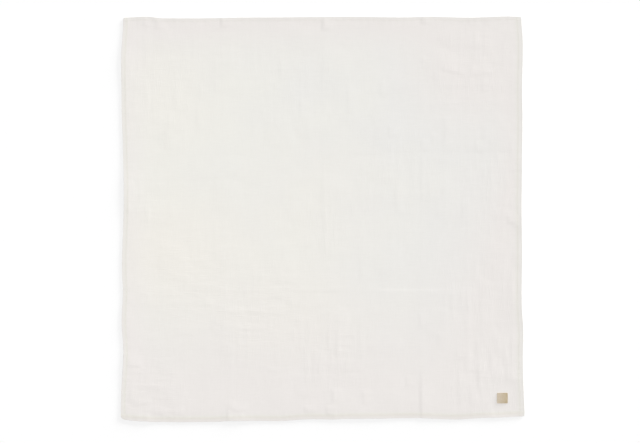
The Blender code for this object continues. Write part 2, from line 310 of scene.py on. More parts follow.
# One row for each place that is more crinkled than the rest: its middle, its reach each way, and how much
# more the crinkle that runs along the cloth and the crinkle that runs across it show there.
RUMPLES = table(
    "x y reach_x reach_y along across",
    (480, -480, 200, 200, 1.20, 0.60),
    (470, -200, 230, 230, 0.80, 0.20),
    (480, 120, 230, 230, 0.55, 0.20),
    (430, 420, 210, 210, 0.70, 0.50),
    (210, 130, 200, 200, 0.40, 0.15),
    (0, -20, 170, 170, 0.45, 0.25),
    (20, -440, 200, 200, 0.40, 0.30),
    (-180, -290, 230, 230, 0.55, 0.85),
    (20, -360, 150, 150, 0.60, 0.60),
    (-400, -180, 240, 240, 0.20, 0.75),
    (-500, -500, 170, 170, 0.60, 1.00),
    (-460, 380, 220, 220, 0.80, 0.50),
    (-100, 400, 220, 220, 0.30, 0.30),
    (-540, 50, 160, 160, 0.50, 0.30),
)

# One row for each place where the cloth's tone differs: its middle, its reach each way, and how much warmer
# and how much rosier it is there.
TONES = table(
    "x y reach_x reach_y warm rosy",
    (-450, -100, 400, 300, 1.0, 0.0),
    (-100, -330, 340, 280, 0.9, 0.0),
    (-20, 20, 360, 340, 0.4, 0.0),
    (-480, 360, 300, 300, 0.5, 0.0),
    (0, -620, 3000, 560, 0.0, 1.1),  # the whole near end, rosier and darker; the darkening is partly painted shade, as if the light fell off towards it
    (0, 640, 3000, 280, 0.0, 0.5),  # and the far one
    (600, -150, 420, 600, 0.0, 0.5),
    (660, -250, 360, 600, 0.0, 0.9),
    (600, 520, 500, 400, 0.0, 0.8),
    (400, 400, 240, 220, 0.0, 0.5),
    (-600, 620, 500, 240, 0.0, 0.4),
    (0, 0, 9000, 9000, 0.0, 0.1),  # everywhere
)
EDGE_ROSE = 0.5  # how much rosier the cloth is along its edges
EDGE_TONE_REACH = 110 * MM

HEM_PUCKER_LENGTH = 9.0 * MM  # from one small pucker along a seam to the next
HEM_PUCKER_RISE = 0.13 * MM
HEM_PUCKER_REACH = 34 * MM  # how far in from the edge they die out
PUCKER_AT_EDGE = 0.45  # share of their height at the very edge
PUCKER_SEED = 31  # of the left edge's, and one more for each edge after it
INSET_SEED = 41

# One row for each stretch of a hem that is more puckered than the rest: its edge, its middle along it, its
# reach, and how much more it puckers there.
HEM_RUMPLES = table(
    "edge along reach more",
    ("left", -480, 120, 0.8),
    ("right", -10, 50, 1.6),
    ("right", -460, 150, 0.8),
    ("near", -500, 120, 1.6),
    ("near", -245, 70, 1.2),
    ("near", 30, 60, 0.7),
    ("near", 490, 100, 1.0),
    ("far", -500, 100, 1.5),
    ("far", 0, 40, 0.8),
    ("far", 460, 90, 0.8),
)

# ---- The thread and the patch ----

STITCH_PITCH = 3.1 * MM
STITCH_LENGTH = 2.6 * MM
THREAD_RADIUS = 0.24 * MM
THREAD_SIDES = 6
STITCH_RISE = 0.12 * MM  # of a stitch's middle above the cloth
STITCH_SINK = 0.30 * MM  # of its ends below it
STITCH_RINGS = np.array([-1.0, -0.72, 0.0, 0.72, 1.0])  # along it, from its middle
STITCH_THIN = np.array([0.55, 0.9, 1.0, 0.9, 0.55])  # share of the thread's radius at each ring
SEAM_END = 5.0 * MM  # the hems' seams start this far from the corners

patch_low, patch_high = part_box("label_patch")
PATCH_MIDDLE = (patch_low + patch_high) / 2
PATCH_WIDTH = patch_high.x - patch_low.x
PATCH_LENGTH = patch_high.y - patch_low.y
PATCH_THICKNESS = patch_high.z - patch_low.z
PATCH_CORNER_RADIUS = 2.5 * MM
PATCH_LEAST_RADIUS = 0.25 * MM  # of its inner rings
PATCH_CORNER_STEPS = 9
PATCH_SIDE_STEPS = 22
PATCH_FLAT_REACH = 0.030  # the cloth lies flat this far round the patch's middle
PATCH_FLAT_FADE = 0.045  # and rises into its folds over this much more
RELIEF_UNDER_PATCH = 0.15  # share of the cloth's creases and crinkle that is left there
PATCH_SEAM_INSIDE = 2.0 * MM
PATCH_STITCHES = 9  # along each side
PATCH_STITCH_LENGTH = 2.1 * MM
PATCH_GROOVE = 0.5 * MM  # half the width of the groove that they pull
PATCH_DIMPLE = 0.04  # how uneven the groove is, in shares of the patch's thickness
PATCH_STITCH_HEIGHT = 0.86  # up from the patch's back, in the same shares

# One row for each ring of the patch's section, from its back edge over to the middle of its face: in from
# its edge, and up from its back, in shares of its thickness.
PATCH_RINGS = table(
    "inside height",
    (0.20, -0.20), (0.05, -0.10), (0.00, 0.22), (0.00, 0.70),  # its back reaches the cloth
    (0.08, 0.86), (0.28, 0.96), (0.60, 1.00), (1.30, 1.00),
    (1.65, 0.90), (2.00, 0.80), (2.35, 0.90), (2.80, 1.02),  # the groove of its seam
    (4.00, 1.06), (7.50, 1.09), (11.50, 1.10), (14.20, 1.10),
)

# ---- Shapes worked out on arrays ----


def smooth(share):
    """A rise from 0 to 1 that is level at both ends: half a cosine wave."""
    return (1 - np.cos(np.pi * np.clip(share, 0, 1))) / 2


def eased(places, stops, values):
    """Values at the places: between two stops they go from one value to the next as smooth() rises."""
    stops, values = np.array(stops), np.array(values)
    before = np.clip(np.searchsorted(stops, places) - 1, 0, len(stops) - 2)
    share = (places - stops[before]) / (stops[before + 1] - stops[before])
    return values[before] + (values[before + 1] - values[before]) * smooth(share)


def streaks(across, along, width, length, seed):
    """Uneven streaks from -1 to 1. Each strand of the given width has random heights one length apart,
    joined by smooth(), that start at a place of its own, and neighbouring strands blend by smooth() too."""
    strands, beads = 509, 127
    random = np.random.default_rng(seed)
    heights = random.uniform(-1, 1, (strands, beads))
    starts = random.uniform(0, beads, strands)

    def height_on(strand):
        bead = along / length + starts[strand % strands]
        first = np.floor(bead).astype(int)
        before = heights[strand % strands, first % beads]
        after = heights[strand % strands, (first + 1) % beads]
        return before + (after - before) * smooth(bead - first)

    strand = np.floor(across / width).astype(int)
    left, right = height_on(strand), height_on(strand + 1)
    return left + (right - left) * smooth(across / width - strand)


def from_edges(x, y):
    """How far each point is in from each edge, and how far along that edge."""
    return {
        "left": (CLOTH_WIDTH / 2 + x, y),
        "right": (CLOTH_WIDTH / 2 - x, y),
        "near": (CLOTH_LENGTH / 2 + y, x),
        "far": (CLOTH_LENGTH / 2 - y, x),
    }


def nearest_edge(x, y):
    """How far each point is in from the nearest edge."""
    return np.minimum(CLOTH_WIDTH / 2 - np.abs(x), CLOTH_LENGTH / 2 - np.abs(y))


def in_hem_widths(x, y):
    """How far each point is in from the nearest side edge and from the nearest end edge, each as a share of
    that edge's hem, the smaller one first."""
    shares = {name: inside / HEMS[name].width for name, (inside, _) in from_edges(x, y).items()}
    side, end = np.minimum(shares["left"], shares["right"]), np.minimum(shares["near"], shares["far"])
    return np.minimum(side, end), np.maximum(side, end)


def off_patch(x, y):
    """0 under the patch, where the cloth is sewn flat, rising to 1 where it is free."""
    far = np.hypot(x - PATCH_MIDDLE.x, y - PATCH_MIDDLE.y)
    return eased(far, (PATCH_FLAT_REACH, PATCH_FLAT_REACH + PATCH_FLAT_FADE), (0, 1))


def fold_rise(across, along, span, folds):
    """Height of the folds that run one way: for each, (1 - distance from the crest, in that flank's widths)
    to a power, times the height of the ridge along it. Its lean shares the two widths between its flanks."""
    rise = np.zeros_like(across)
    for fold in folds:
        places = [point.along * MM for point in fold.points]
        height = eased(along, places, [point.rise * MM for point in fold.points])
        lean = eased(along, places, [point.lean for point in fold.points])
        crest = np.interp(along / span, (-0.5, 0, 0.5), (fold.start, fold.halfway, fold.end))
        off = across - crest
        steep = 0.5 + 0.5 * lean * np.sign(off)
        flank = FOLD_GENTLE + (FOLD_STEEP - FOLD_GENTLE) * steep
        rise += height * np.clip(1 - np.abs(off) / flank, 0, 1) ** FOLD_CREST_POWER
    return rise


def wave_rise(x, y):
    """Height of the hems' waves: a squared cosine along the edge, times a squared fall towards the inside."""
    edges = from_edges(x, y)
    rise = np.zeros_like(x)
    for wave in WAVES:
        inside, along = edges[wave.edge]
        off_middle = np.clip((along / MM - wave.along) / wave.half_length, -1, 1)
        fade = np.clip(1 - inside / MM / wave.reach, 0, 1)
        rise += wave.rise * MM * np.cos(off_middle * np.pi / 2) ** 2 * fade**2
    return rise


def swell_rise(x, y):
    """Height of the broad swells: the tops of crossed sine waves, and flat between them."""
    rise = np.zeros_like(x)
    for swell in SWELLS:
        across = np.sin(2 * np.pi * x / MM / swell.length_x + swell.turn_x)
        along = np.sin(2 * np.pi * y / MM / swell.length_y + swell.turn_y)
        top = (across * along - SWELL_FLOOR) / (1 - SWELL_FLOOR)
        rise = np.maximum(rise, swell.rise * MM * smooth(top))
    return rise


def hem_lift(x, y):
    """How far the cloth stands off the surface for its stiff hems: a smooth rise towards each edge, and where
    two edges meet the square root of the sum of both rises' squares."""
    squares = np.zeros_like(x)
    for edge, (inside, along) in from_edges(x, y).items():
        lift = eased(along, LIFT_CHANGE, (HEMS[edge].first_lift, HEMS[edge].last_lift))
        squares += (lift * smooth(1 - inside / HEM_LIFT_REACH)) ** 2
    return np.sqrt(squares)


def underside_height(x, y):
    """Height of the cloth's back: the folds, waves and swells, with none of them under the patch."""
    folds = fold_rise(x, y, CLOTH_LENGTH, FOLDS_ALONG_Y) + fold_rise(y, x, CLOTH_WIDTH, FOLDS_ALONG_X)
    return (folds + swell_rise(x, y) + wave_rise(x, y) + hem_lift(x, y)) * off_patch(x, y)


def thickness(x, y):
    """Thickness of the cloth up from its back: an ellipse's quarter less at the outer edge, a smooth slope up
    to the hem, and a cosine groove along its seam."""
    ellipse = np.sqrt(1 - (1 - np.clip(nearest_edge(x, y) / HEM_ROUND, 0, 1)) ** 2)
    nearest, other = in_hem_widths(x, y)
    slope = (1 - HEM_STEP, 1)
    hem = eased(nearest, slope, (HEM_UP, 0)) + eased(other, slope, (HEM_CROSSING, 0))
    groove = smooth(1 - np.abs(nearest - SEAM_INSIDE) / SEAM_WIDTH)
    return CLOTH_THICKNESS - EDGE_DROP * (1 - ellipse) + hem - SEAM_DEPTH * groove


def crease_rise(x, y):
    """Height of the small creases: smooth() of (1 - distance across, in that flank's widths), times a rise
    that fades towards both ends, along a line that bows by the square of the distance from its middle."""
    rise = np.zeros_like(x)
    for crease in CREASES:
        turn = math.radians(crease.turn)
        dx, dy = x / MM - crease.x, y / MM - crease.y
        along = (dx * math.cos(turn) + dy * math.sin(turn)) / (crease.length / 2)
        left = dy * math.cos(turn) - dx * math.sin(turn) - crease.bow * along**2
        widened = np.where(left > 0, -crease.lean, crease.lean) * CREASE_SPREAD  # narrowed, below 0
        flank = crease.half_width * (1 + np.maximum(CREASE_WIDENED * widened, widened))
        ends = smooth(CREASE_ENDS * (1 - np.abs(along)))
        rise += crease.rise * MM * smooth(1 - np.abs(left) / flank) * ends
    return rise


def shares_near(x, y, places, shares):
    """Adds to each named share what each place has of it, times smooth() of (1 - distance from the place's
    middle, in its reaches)."""
    for place in places:
        near = smooth(1 - np.hypot((x / MM - place.x) / place.reach_x, (y / MM - place.y) / place.reach_y))
        shares = {name: share + getattr(place, name) * near for name, share in shares.items()}
    return shares


def tone_shares(x, y):
    """How warm and how rosy the cloth's tone is at each point: by its place, with a rosier border."""
    border = EDGE_ROSE * smooth(1 - nearest_edge(x, y) / EDGE_TONE_REACH)
    return shares_near(x, y, TONES, {"warm": np.zeros_like(x), "rosy": border})


def hem_tones(x, y):
    """How much of the hem's deeper tone, and of the painted shade in its seam's groove and on its rolled
    outer edge,
    each point has: each fades to both sides of its line, and the strongest hem counts."""
    tones = {name: np.zeros_like(x) for name in ("hem", "seam", "outer_edge_shade")}
    for edge, (inside, _) in from_edges(x, y).items():
        share = inside / HEMS[edge].width
        layers = eased(share, (0, SEAM_INSIDE, SEAM_INSIDE + HEMS[edge].fade), (TONE_AT_EDGE, 1, 0))
        groove = smooth(1 - np.abs(share - SEAM_INSIDE) / SEAM_SHADE_WIDTH)
        outer = smooth(1 - inside / OUTER_EDGE_SHADE_WIDTH)
        tones["hem"] = np.maximum(tones["hem"], HEMS[edge].tone * layers)
        tones["seam"] = np.maximum(tones["seam"], HEMS[edge].tone * groove)
        tones["outer_edge_shade"] = np.maximum(tones["outer_edge_shade"], HEMS[edge].edge_tone * outer)
    return tones


def crinkle_leads(x, y):
    """How much the crinkle shows at each point, along the cloth and across it: a little everywhere, and more
    in the rumpled places."""
    least = np.full_like(x, CRINKLE_LEAST)
    return shares_near(x, y, RUMPLES, {"along": least, "across": least})


def crinkle_rise(x, y):
    """Height of the muslin's crinkle, of two sizes each way: the part of streaks, up or down, that stands
    above a flat share, so that the cloth is flat between its puffs."""
    leads = crinkle_leads(x, y)
    rise = np.zeros_like(x)
    for crinkle in CRINKLES:
        across, along = (x / MM, y / MM) if crinkle.runs == "along" else (y / MM, x / MM)
        heights = np.abs(streaks(across, along, crinkle.width, crinkle.length, crinkle.seed))
        puffs = np.clip(heights - CRINKLE_FLAT, 0, 1) / (1 - CRINKLE_FLAT)
        rise += crinkle.rise * MM * leads[crinkle.runs] * puffs
    return rise


def hem_pucker_rise(x, y):
    """Height of the puckers that the seams draw up: short streaks square to each edge, highest at the seam
    and in the rumpled stretches."""
    rise = np.zeros_like(x)
    for number, (edge, (inside, along)) in enumerate(from_edges(x, y).items()):
        stops = (0, SEAM_INSIDE * HEMS[edge].width, HEM_PUCKER_REACH)
        strength = eased(inside, stops, (PUCKER_AT_EDGE, 1, 0))
        for rumple in HEM_RUMPLES:
            if rumple.edge == edge:
                near = smooth(1 - np.abs(along / MM - rumple.along) / rumple.reach)
                strength = strength * (1 + rumple.more * near)
        seed = PUCKER_SEED + number
        rise += strength * streaks(along, inside, HEM_PUCKER_LENGTH, HEM_PUCKER_REACH, seed)
    return HEM_PUCKER_RISE * rise


def top_height(x, y):
    """Height of the cloth's top: its underside, its thickness, and the creases, crinkle and puckers."""
    rim = smooth(nearest_edge(x, y) / HEM_ROUND)  # none of them at the very edge, which both faces share
    relief = crease_rise(x, y) + crinkle_rise(x, y) + hem_pucker_rise(x, y)
    free = RELIEF_UNDER_PATCH + (1 - RELIEF_UNDER_PATCH) * off_patch(x, y)
    return underside_height(x, y) + thickness(x, y) + relief * rim * free


def edge_inset(edge, along, number):
    """How far an edge lies in from its outermost point: its rows, eased, and the seam's small puckers."""
    stops, insets = [point.along * MM for point in edge], [point.inset * MM for point in edge]
    waver = streaks(along, along, HEM_PUCKER_LENGTH, HEM_PUCKER_REACH, INSET_SEED + number)
    return eased(along, stops, insets) + EDGE_PUCKER * (1 + waver) / 2


def drawn_in(x, y):
    """Moves points of the square cloth to its uneven outline, less and less towards its middle."""
    edges = from_edges(x, y)

    def pull(name, edge, number):
        inside, along = edges[name]
        fade = np.clip(1 - np.maximum(inside - HEMS[name].width, 0) / EDGE_FADE, 0, 1) ** 2
        return edge_inset(edge, along, number) * fade

    new_x = x + pull("left", LEFT_EDGE, 0) - pull("right", RIGHT_EDGE, 1)
    new_y = y + pull("near", NEAR_EDGE, 2) - pull("far", FAR_EDGE, 3)
    for corner in CORNERS:
        inside_side = edges["left" if corner.side < 0 else "right"][0]
        inside_end = edges["near" if corner.end < 0 else "far"][0]
        reach, draw_in = corner.reach * MM, corner.draw_in * MM
        near = np.clip(1 - inside_side / reach, 0, 1) * np.clip(1 - inside_end / reach, 0, 1)
        new_x -= corner.side * draw_in * near**2
        new_y -= corner.end * draw_in * near**2
    return new_x, new_y


def on_top(x, y):
    """Points on the cloth's top, as an array whose last axis is X, Y and Z."""
    return np.stack([*drawn_in(x, y), top_height(x, y)], axis=-1)


# ---- Grids and meshes ----

# Grid lines across a hem, in from the edge: first those where it rounds over, and then those up to its inner
# edge, close along the seam's groove, in shares of the hem's width.
ROUND_LINES = np.array([0, 0.02, 0.08, 0.18, 0.40, 0.56]) * MM
SEAM_LINES = np.array([0.24, 0.47, 0.70, 0.77, 0.83, 0.89, 0.97, 1.17])


def hem_lines(name):
    """Grid lines across one hem, in from its edge."""
    return np.concatenate([ROUND_LINES, SEAM_LINES * HEMS[name].width])


def fixed_lines(span, middles, first, last):
    """Grid lines that the cloth's section needs: across the first and last hem, and each fold's ridge."""
    ridges = [middle + FOLD_LINES for middle in middles]
    return np.concatenate([hem_lines(first) - span / 2, *ridges, span / 2 - hem_lines(last)[::-1]])


def grid_lines(span, folds, first, last):
    """Grid lines at the folds' starts and at their ends, with even steps between the fixed ones."""
    start = fixed_lines(span, [fold.start for fold in folds], first, last)
    end = fixed_lines(span, [fold.end for fold in folds], first, last)
    counts = np.ceil(np.diff((start + end) / 2) / TOP_STEP).astype(int)
    places = np.concatenate([line + np.arange(count) / count for line, count in enumerate(counts)])
    places = np.append(places, len(counts))
    numbers = np.arange(len(start))
    return np.interp(places, numbers, start), np.interp(places, numbers, end)


def grid_points():
    """X and Y of the top's grid, before it is drawn in, as two arrays: its lines slant as the folds do."""
    x_start, x_end = grid_lines(CLOTH_WIDTH, FOLDS_ALONG_Y, "left", "right")
    y_start, y_end = grid_lines(CLOTH_LENGTH, FOLDS_ALONG_X, "near", "far")
    x_share = (x_start + x_end) / 2 / CLOTH_WIDTH + 0.5
    y_share = (y_start + y_end) / 2 / CLOTH_LENGTH + 0.5
    x = x_start[:, None] + np.outer(x_end - x_start, y_share)
    y = y_start[None, :] + np.outer(x_share, y_end - y_start)
    return x, y


def grid_faces(numbers):
    """The quads of a grid of point numbers, each running anticlockwise seen from above."""
    corners = (numbers[:-1, :-1], numbers[1:, :-1], numbers[1:, 1:], numbers[:-1, 1:])
    return np.stack(corners, axis=-1).reshape(-1, 4)


def round_border(grid):
    """A grid's border, anticlockwise from its first corner, as one row."""
    return np.concatenate([grid[:-1, 0], grid[-1, :-1], grid[:0:-1, -1], grid[0, :0:-1]])


def ring_faces(outer, inner):
    """The quads between two closed rings of point numbers."""
    return np.stack([outer, inner, np.roll(inner, -1), np.roll(outer, -1)], axis=-1)


def make_mesh(name, points, faces, finish):
    """A shown object with these points and faces, at the origin, shaded smooth."""
    mesh = bpy.data.meshes.new(name)
    mesh.from_pydata(points.tolist(), [], faces)
    mesh.materials.append(finish)
    mesh.shade_smooth()
    piece = bpy.data.objects.new(name, mesh)
    bpy.context.scene.collection.objects.link(piece)
    return piece


def coarse_lines(count):
    """The top's lines that the underside has too: the first and last are set in from the edge."""
    start = 3 * UNDERSIDE_STRIDE
    middle = range(start, count - start, UNDERSIDE_STRIDE)
    return np.array([UNDERSIDE_START, *middle, count - 1 - UNDERSIDE_START])


def underside_joins(shape, columns, rows, rim, under):
    """The triangles between the rim, a fine ring of point numbers, and the border of the coarse underside:
    each coarse point has a fan to the rim's points up to the next coarse line, and one more triangle
    reaches the next coarse point. columns and rows are the coarse grid's lines, from edge to edge."""
    on_rim = np.zeros(shape, int)
    on_rim[tuple(round_border(part) for part in np.indices(shape))] = np.arange(len(rim))
    stops = round_border(on_rim[np.ix_(columns, rows)])
    border = round_border(under)
    fan = np.searchsorted(stops, np.arange(len(rim)), side="right") - 1
    fans = np.stack([np.roll(rim, -1), rim, border[fan]], axis=-1)
    links = np.stack([rim[np.roll(stops, -1)], border, np.roll(border, -1)], axis=-1)
    return np.concatenate([fans, links])


def add_measure(mesh, name, values):
    """Keeps one number for each point of a mesh, for its finish to read."""
    mesh.attributes.new(name, "FLOAT", "POINT").data.foreach_set("value", values.astype(np.float32))


def make_cloth(finish):
    """The muslin as one closed sheet. Its top is a fine grid, and its underside a coarse one on the same
    folds, inside a ring just under the top's edge."""
    x, y = grid_points()
    top = np.arange(x.size).reshape(x.shape)

    rim_x = np.clip(round_border(x), RIM_TUCK - CLOTH_WIDTH / 2, CLOTH_WIDTH / 2 - RIM_TUCK)
    rim_y = np.clip(round_border(y), RIM_TUCK - CLOTH_LENGTH / 2, CLOTH_LENGTH / 2 - RIM_TUCK)
    rim = top.size + np.arange(len(rim_x))

    columns, rows = coarse_lines(x.shape[0]), coarse_lines(x.shape[1])
    under_x, under_y = x[np.ix_(columns, rows)], y[np.ix_(columns, rows)]
    under = rim[-1] + 1 + np.arange(under_x.size).reshape(under_x.shape)
    columns[[0, -1]], rows[[0, -1]] = (0, x.shape[0] - 1), (0, x.shape[1] - 1)

    flat_x = np.concatenate([x.ravel(), rim_x, under_x.ravel()])
    flat_y = np.concatenate([y.ravel(), rim_y, under_y.ravel()])
    points = np.stack([*drawn_in(flat_x, flat_y), underside_height(flat_x, flat_y)], axis=-1)
    points[: top.size, 2] = top_height(x, y).ravel()
    points[rim, 2] = np.maximum(points[rim, 2] - HEM_DOWN, 0)
    faces = [
        *grid_faces(top).tolist(),
        *ring_faces(round_border(top), rim).tolist(),
        *underside_joins(x.shape, columns, rows, rim, under).tolist(),
        *grid_faces(under)[:, ::-1].tolist(),
    ]
    cloth = make_mesh("muslin_sheet", points, faces, finish)

    # The cut map lays the weave along the cloth, in metres. The measures tell the finish where the hem's
    # layers are, where its seam's
    #     groove and the +X and +Y hems' outer edges get painted shade, how much the crinkle shows, and the
    #     cloth's tone, which at the near end is partly painted shade.
    mesh = cloth.data
    corners = np.empty(len(mesh.loops), np.int32)
    mesh.loops.foreach_get("vertex_index", corners)
    cut = mesh.uv_layers.new(name="cut")
    cut.data.foreach_set("uv", np.stack([flat_x, flat_y], axis=-1)[corners].astype(np.float32).ravel())
    leads = crinkle_leads(flat_x, flat_y)
    add_measure(mesh, "crinkled_along", leads["along"])
    add_measure(mesh, "crinkled_across", leads["across"])
    for name, shares in (tone_shares(flat_x, flat_y) | hem_tones(flat_x, flat_y)).items():
        add_measure(mesh, name, shares)
    return cloth


def make_stitches(name, starts, ends, finish):
    """A row of stitches: each a tube from start to end that thins at its ends, and whose middle line is an
    arch, a parabola in height."""
    along = STITCH_RINGS
    arch = STITCH_RISE * (1 - along**2) - STITCH_SINK * along**2
    radius = THREAD_RADIUS * STITCH_THIN
    angle = 2 * np.pi * np.arange(THREAD_SIDES) / THREAD_SIDES

    middle, run = (starts + ends) / 2, (ends - starts) / 2
    side = np.cross(run, [0, 0, 1])
    side /= np.linalg.norm(side, axis=1, keepdims=True)
    up = np.array([0, 0, 1.0])
    line = middle[:, None] + run[:, None] * along[:, None] + up * arch[:, None]
    ring = side[:, None, None] * np.cos(angle)[:, None] + up * np.sin(angle)[:, None]
    points = line[:, :, None] + ring * radius[:, None, None]

    count, rings = len(starts), len(along)
    number = np.arange(count * rings * THREAD_SIDES).reshape(count, rings, THREAD_SIDES)
    here, onward = number[:, :-1], number[:, 1:]
    tubes = np.stack([here, onward, np.roll(onward, -1, 2), np.roll(here, -1, 2)], axis=-1).reshape(-1, 4)
    first_caps, last_caps = number[:, 0], number[:, -1, ::-1]
    faces = [*tubes.tolist(), *first_caps.tolist(), *last_caps.tolist()]
    return make_mesh(name, points.reshape(-1, 3), faces, finish)


def seam_ends(edge):
    """Flat places of the two ends of each stitch along one hem, evenly spaced between its corners."""
    on_side = edge in ("left", "right")
    span, other_span = (CLOTH_LENGTH, CLOTH_WIDTH) if on_side else (CLOTH_WIDTH, CLOTH_LENGTH)
    count = round((span - 2 * SEAM_END) / STITCH_PITCH)
    middles = np.linspace(SEAM_END - span / 2, span / 2 - SEAM_END, count)
    line = other_span / 2 - SEAM_INSIDE * HEMS[edge].width
    across = np.full(count, -line if edge in ("left", "near") else line)
    ends = [middles + turn * STITCH_LENGTH / 2 for turn in (-1, 1)]
    return [(across, place) if on_side else (place, across) for place in ends]


def make_hem_stitches(finish):
    """The seams of the four hems: a lockstitch line all round, lying in the groove that it pulls."""
    seams = [seam_ends(edge) for edge in HEMS]
    starts = np.concatenate([on_top(*seam[0]) for seam in seams])
    ends = np.concatenate([on_top(*seam[1]) for seam in seams])
    return make_stitches("hem_stitches", starts, ends, finish)


def rounded_outline(width, length, radius):
    """A rectangle with round corners, as points anticlockwise: a quarter circle at each corner, and even
    steps along each side after it."""
    quarter = np.linspace(0, np.pi / 2, PATCH_CORNER_STEPS)
    centres = np.array([[1, 1], [-1, 1], [-1, -1], [1, -1]]) * [width / 2 - radius, length / 2 - radius]
    arcs = [
        centre + radius * np.stack([np.cos(quarter + turn), np.sin(quarter + turn)], axis=-1)
        for centre, turn in zip(centres, np.arange(4) * np.pi / 2)
    ]
    steps = np.linspace(0, 1, PATCH_SIDE_STEPS + 2)[1:-1, None]
    sides = [arc[-1] + (after[0] - arc[-1]) * steps for arc, after in zip(arcs, arcs[1:] + arcs[:1])]
    return np.concatenate([part for pair in zip(arcs, sides) for part in pair])


def make_patch(finish):
    """The patch: its outline shrunk inwards ring by ring while it rises over its section, and closed by a
    flat face at its back and at its middle."""
    rings = []
    for ring in PATCH_RINGS:
        inside = ring.inside * MM
        radius = max(PATCH_CORNER_RADIUS - inside, PATCH_LEAST_RADIUS)
        outline = rounded_outline(PATCH_WIDTH - 2 * inside, PATCH_LENGTH - 2 * inside, radius)
        outline = outline + [PATCH_MIDDLE.x, PATCH_MIDDLE.y]
        height = patch_low.z + ring.height * PATCH_THICKNESS
        rings.append(np.column_stack([outline, np.full(len(outline), height)]))
    points = np.array(rings)
    count = points.shape[1]
    wave = np.sin(np.arange(count) / count * 2 * np.pi * 4 * PATCH_STITCHES)  # one for each stitch
    in_groove = [abs(ring.inside * MM - PATCH_SEAM_INSIDE) < PATCH_GROOVE for ring in PATCH_RINGS]
    points[in_groove, :, 2] += wave * PATCH_DIMPLE * PATCH_THICKNESS
    number = np.arange(points.shape[0] * count).reshape(-1, count)
    walls = np.concatenate([ring_faces(upper, lower) for lower, upper in zip(number, number[1:])])
    faces = [*walls.tolist(), number[0, ::-1].tolist(), number[-1].tolist()]
    return make_mesh("leatherette_patch", points.reshape(-1, 3), faces, finish)


def make_patch_stitches(finish):
    """The patch's seam: a square of stitches in the groove inside its edge, meeting at its corners."""
    halves = (PATCH_WIDTH / 2 - PATCH_SEAM_INSIDE, PATCH_LENGTH / 2 - PATCH_SEAM_INSIDE)
    along = (np.arange(PATCH_STITCHES) + 0.5) / PATCH_STITCHES * 2 - 1
    height = patch_low.z + PATCH_STITCH_HEIGHT * PATCH_THICKNESS

    def stitch_ends(way):
        """The start of each stitch at -1 and its end at 1, on the patch's four sides."""
        sides = []
        for turn in (-1, 1):
            for column in (0, 1):
                side = np.full((PATCH_STITCHES, 3), height)
                side[:, column] = along * halves[column] + way * PATCH_STITCH_LENGTH / 2
                side[:, 1 - column] = turn * halves[1 - column]
                sides.append(side + [PATCH_MIDDLE.x, PATCH_MIDDLE.y, 0])
        return np.concatenate(sides)

    return make_stitches("patch_stitches", stitch_ends(-1), stitch_ends(1), finish)


# ---- Finishes ----


def linear(hex_colour):
    """A hex colour in sRGB as linear red, green, blue and an alpha of 1."""
    parts = [int(hex_colour[place : place + 2], 16) / 255 for place in (1, 3, 5)]
    return (*[part / 12.92 if part <= 0.04045 else ((part + 0.055) / 1.055) ** 2.4 for part in parts], 1)


def add_node(tree, kind, inputs=None, **settings):
    """Adds a shader node with its settings. Each named input is linked if it is given a socket, and else
    set."""
    node = tree.nodes.new("ShaderNode" + kind)
    for name, value in settings.items():
        setattr(node, name, value)
    for name, value in (inputs or {}).items():
        if isinstance(value, bpy.types.NodeSocket):
            tree.links.new(value, node.inputs[name])
        else:
            node.inputs[name].default_value = value
    return node


def new_finish(name, **shader_values):
    """A new material, its nodes and its Principled shader, whose constants are set on its own sockets."""
    material = bpy.data.materials.new(name)
    material.use_nodes = True
    shader = material.node_tree.nodes["Principled BSDF"]
    for socket, value in shader_values.items():
        shader.inputs[socket.replace("_", " ")].default_value = value
    return material, material.node_tree, shader


WAVE_PERIOD = math.pi / 10  # a band texture's bands lie this far apart at a scale of 1
NOISE_DETAIL = 1.5
YARN_PITCH = 1.3 * MM  # the real one is about 0.7 mm, too fine to show, so it is drawn nearly twice as coarse
YARN_HEIGHT = 0.008 * MM
SLUB_WIDTH = 4.0 * MM  # thick places in the yarn, drawn wider than the real 1 mm
SLUB_LENGTH = 30 * MM
FINE_CRINKLE_WIDTH = 5.0 * MM  # between the puffs of the finest crinkle
FINE_CRINKLE_LENGTH = 45 * MM
FINE_CRINKLE_HEIGHT = 0.10 * MM
TINT_AND_PAINTED_LIGHT_CHANGE = (-0.45, 0.35)  # the cloth turns from cream to grey between these places along X, and from paler to darker: partly painted light, as if its -X side were lit more
TINT_PATCH = 170 * MM  # size of the places that have turned more or less than the rest
TINT_RANGE = (0.3, 0.7)  # the noise of the least turned place and of the most turned one
TINT_SHIFT = (-0.3, 0.3)  # and how much more they have turned
CLOUD_WIDTH = 36 * MM  # size of the thicker and thinner places
CLOUD_LENGTH = 80 * MM
PUFF_RANGE = (0.08, 0.25)  # a noise this far off its middle value starts a puff, and makes its top
SLUB_RANGE = (0.6, 1.4)  # the least and the most of two noises added up
SLUB_SHADE = (0.988, 1.012)  # of the cloth's colour, at the least and at the most
CLOUD_RANGE = (0.7, 1.3)
CLOUD_SHADE = (0.997, 1.007)
NEAR_END_CHANGE = (-0.57, -0.50)  # painted shade: the cloth is a little darker towards the near hem, along Y, as if the light fell off there
NEAR_END_PAINTED_SHADE = 0.979
NEAR_HEM_CHANGE = (-0.572, -0.568)  # where the near hem's own tone ends; it is deeper than the other hems' partly as painted shade, like the rest of the near end
FIBRE_SIZE = 0.5 * MM  # in the sewing thread
FIBRE_HEIGHT = 0.05 * MM
FIBRE_SHADE = (0.92, 1.06)  # of the thread's colour
PATCH_GRAIN = 0.8 * MM
PATCH_GRAIN_DEPTH = 0.12 * MM
PATCH_CLOUD = 9 * MM  # size of its deeper and paler places
PATCH_DEEPER = 0.6  # how much more of its deep colour its +X side has

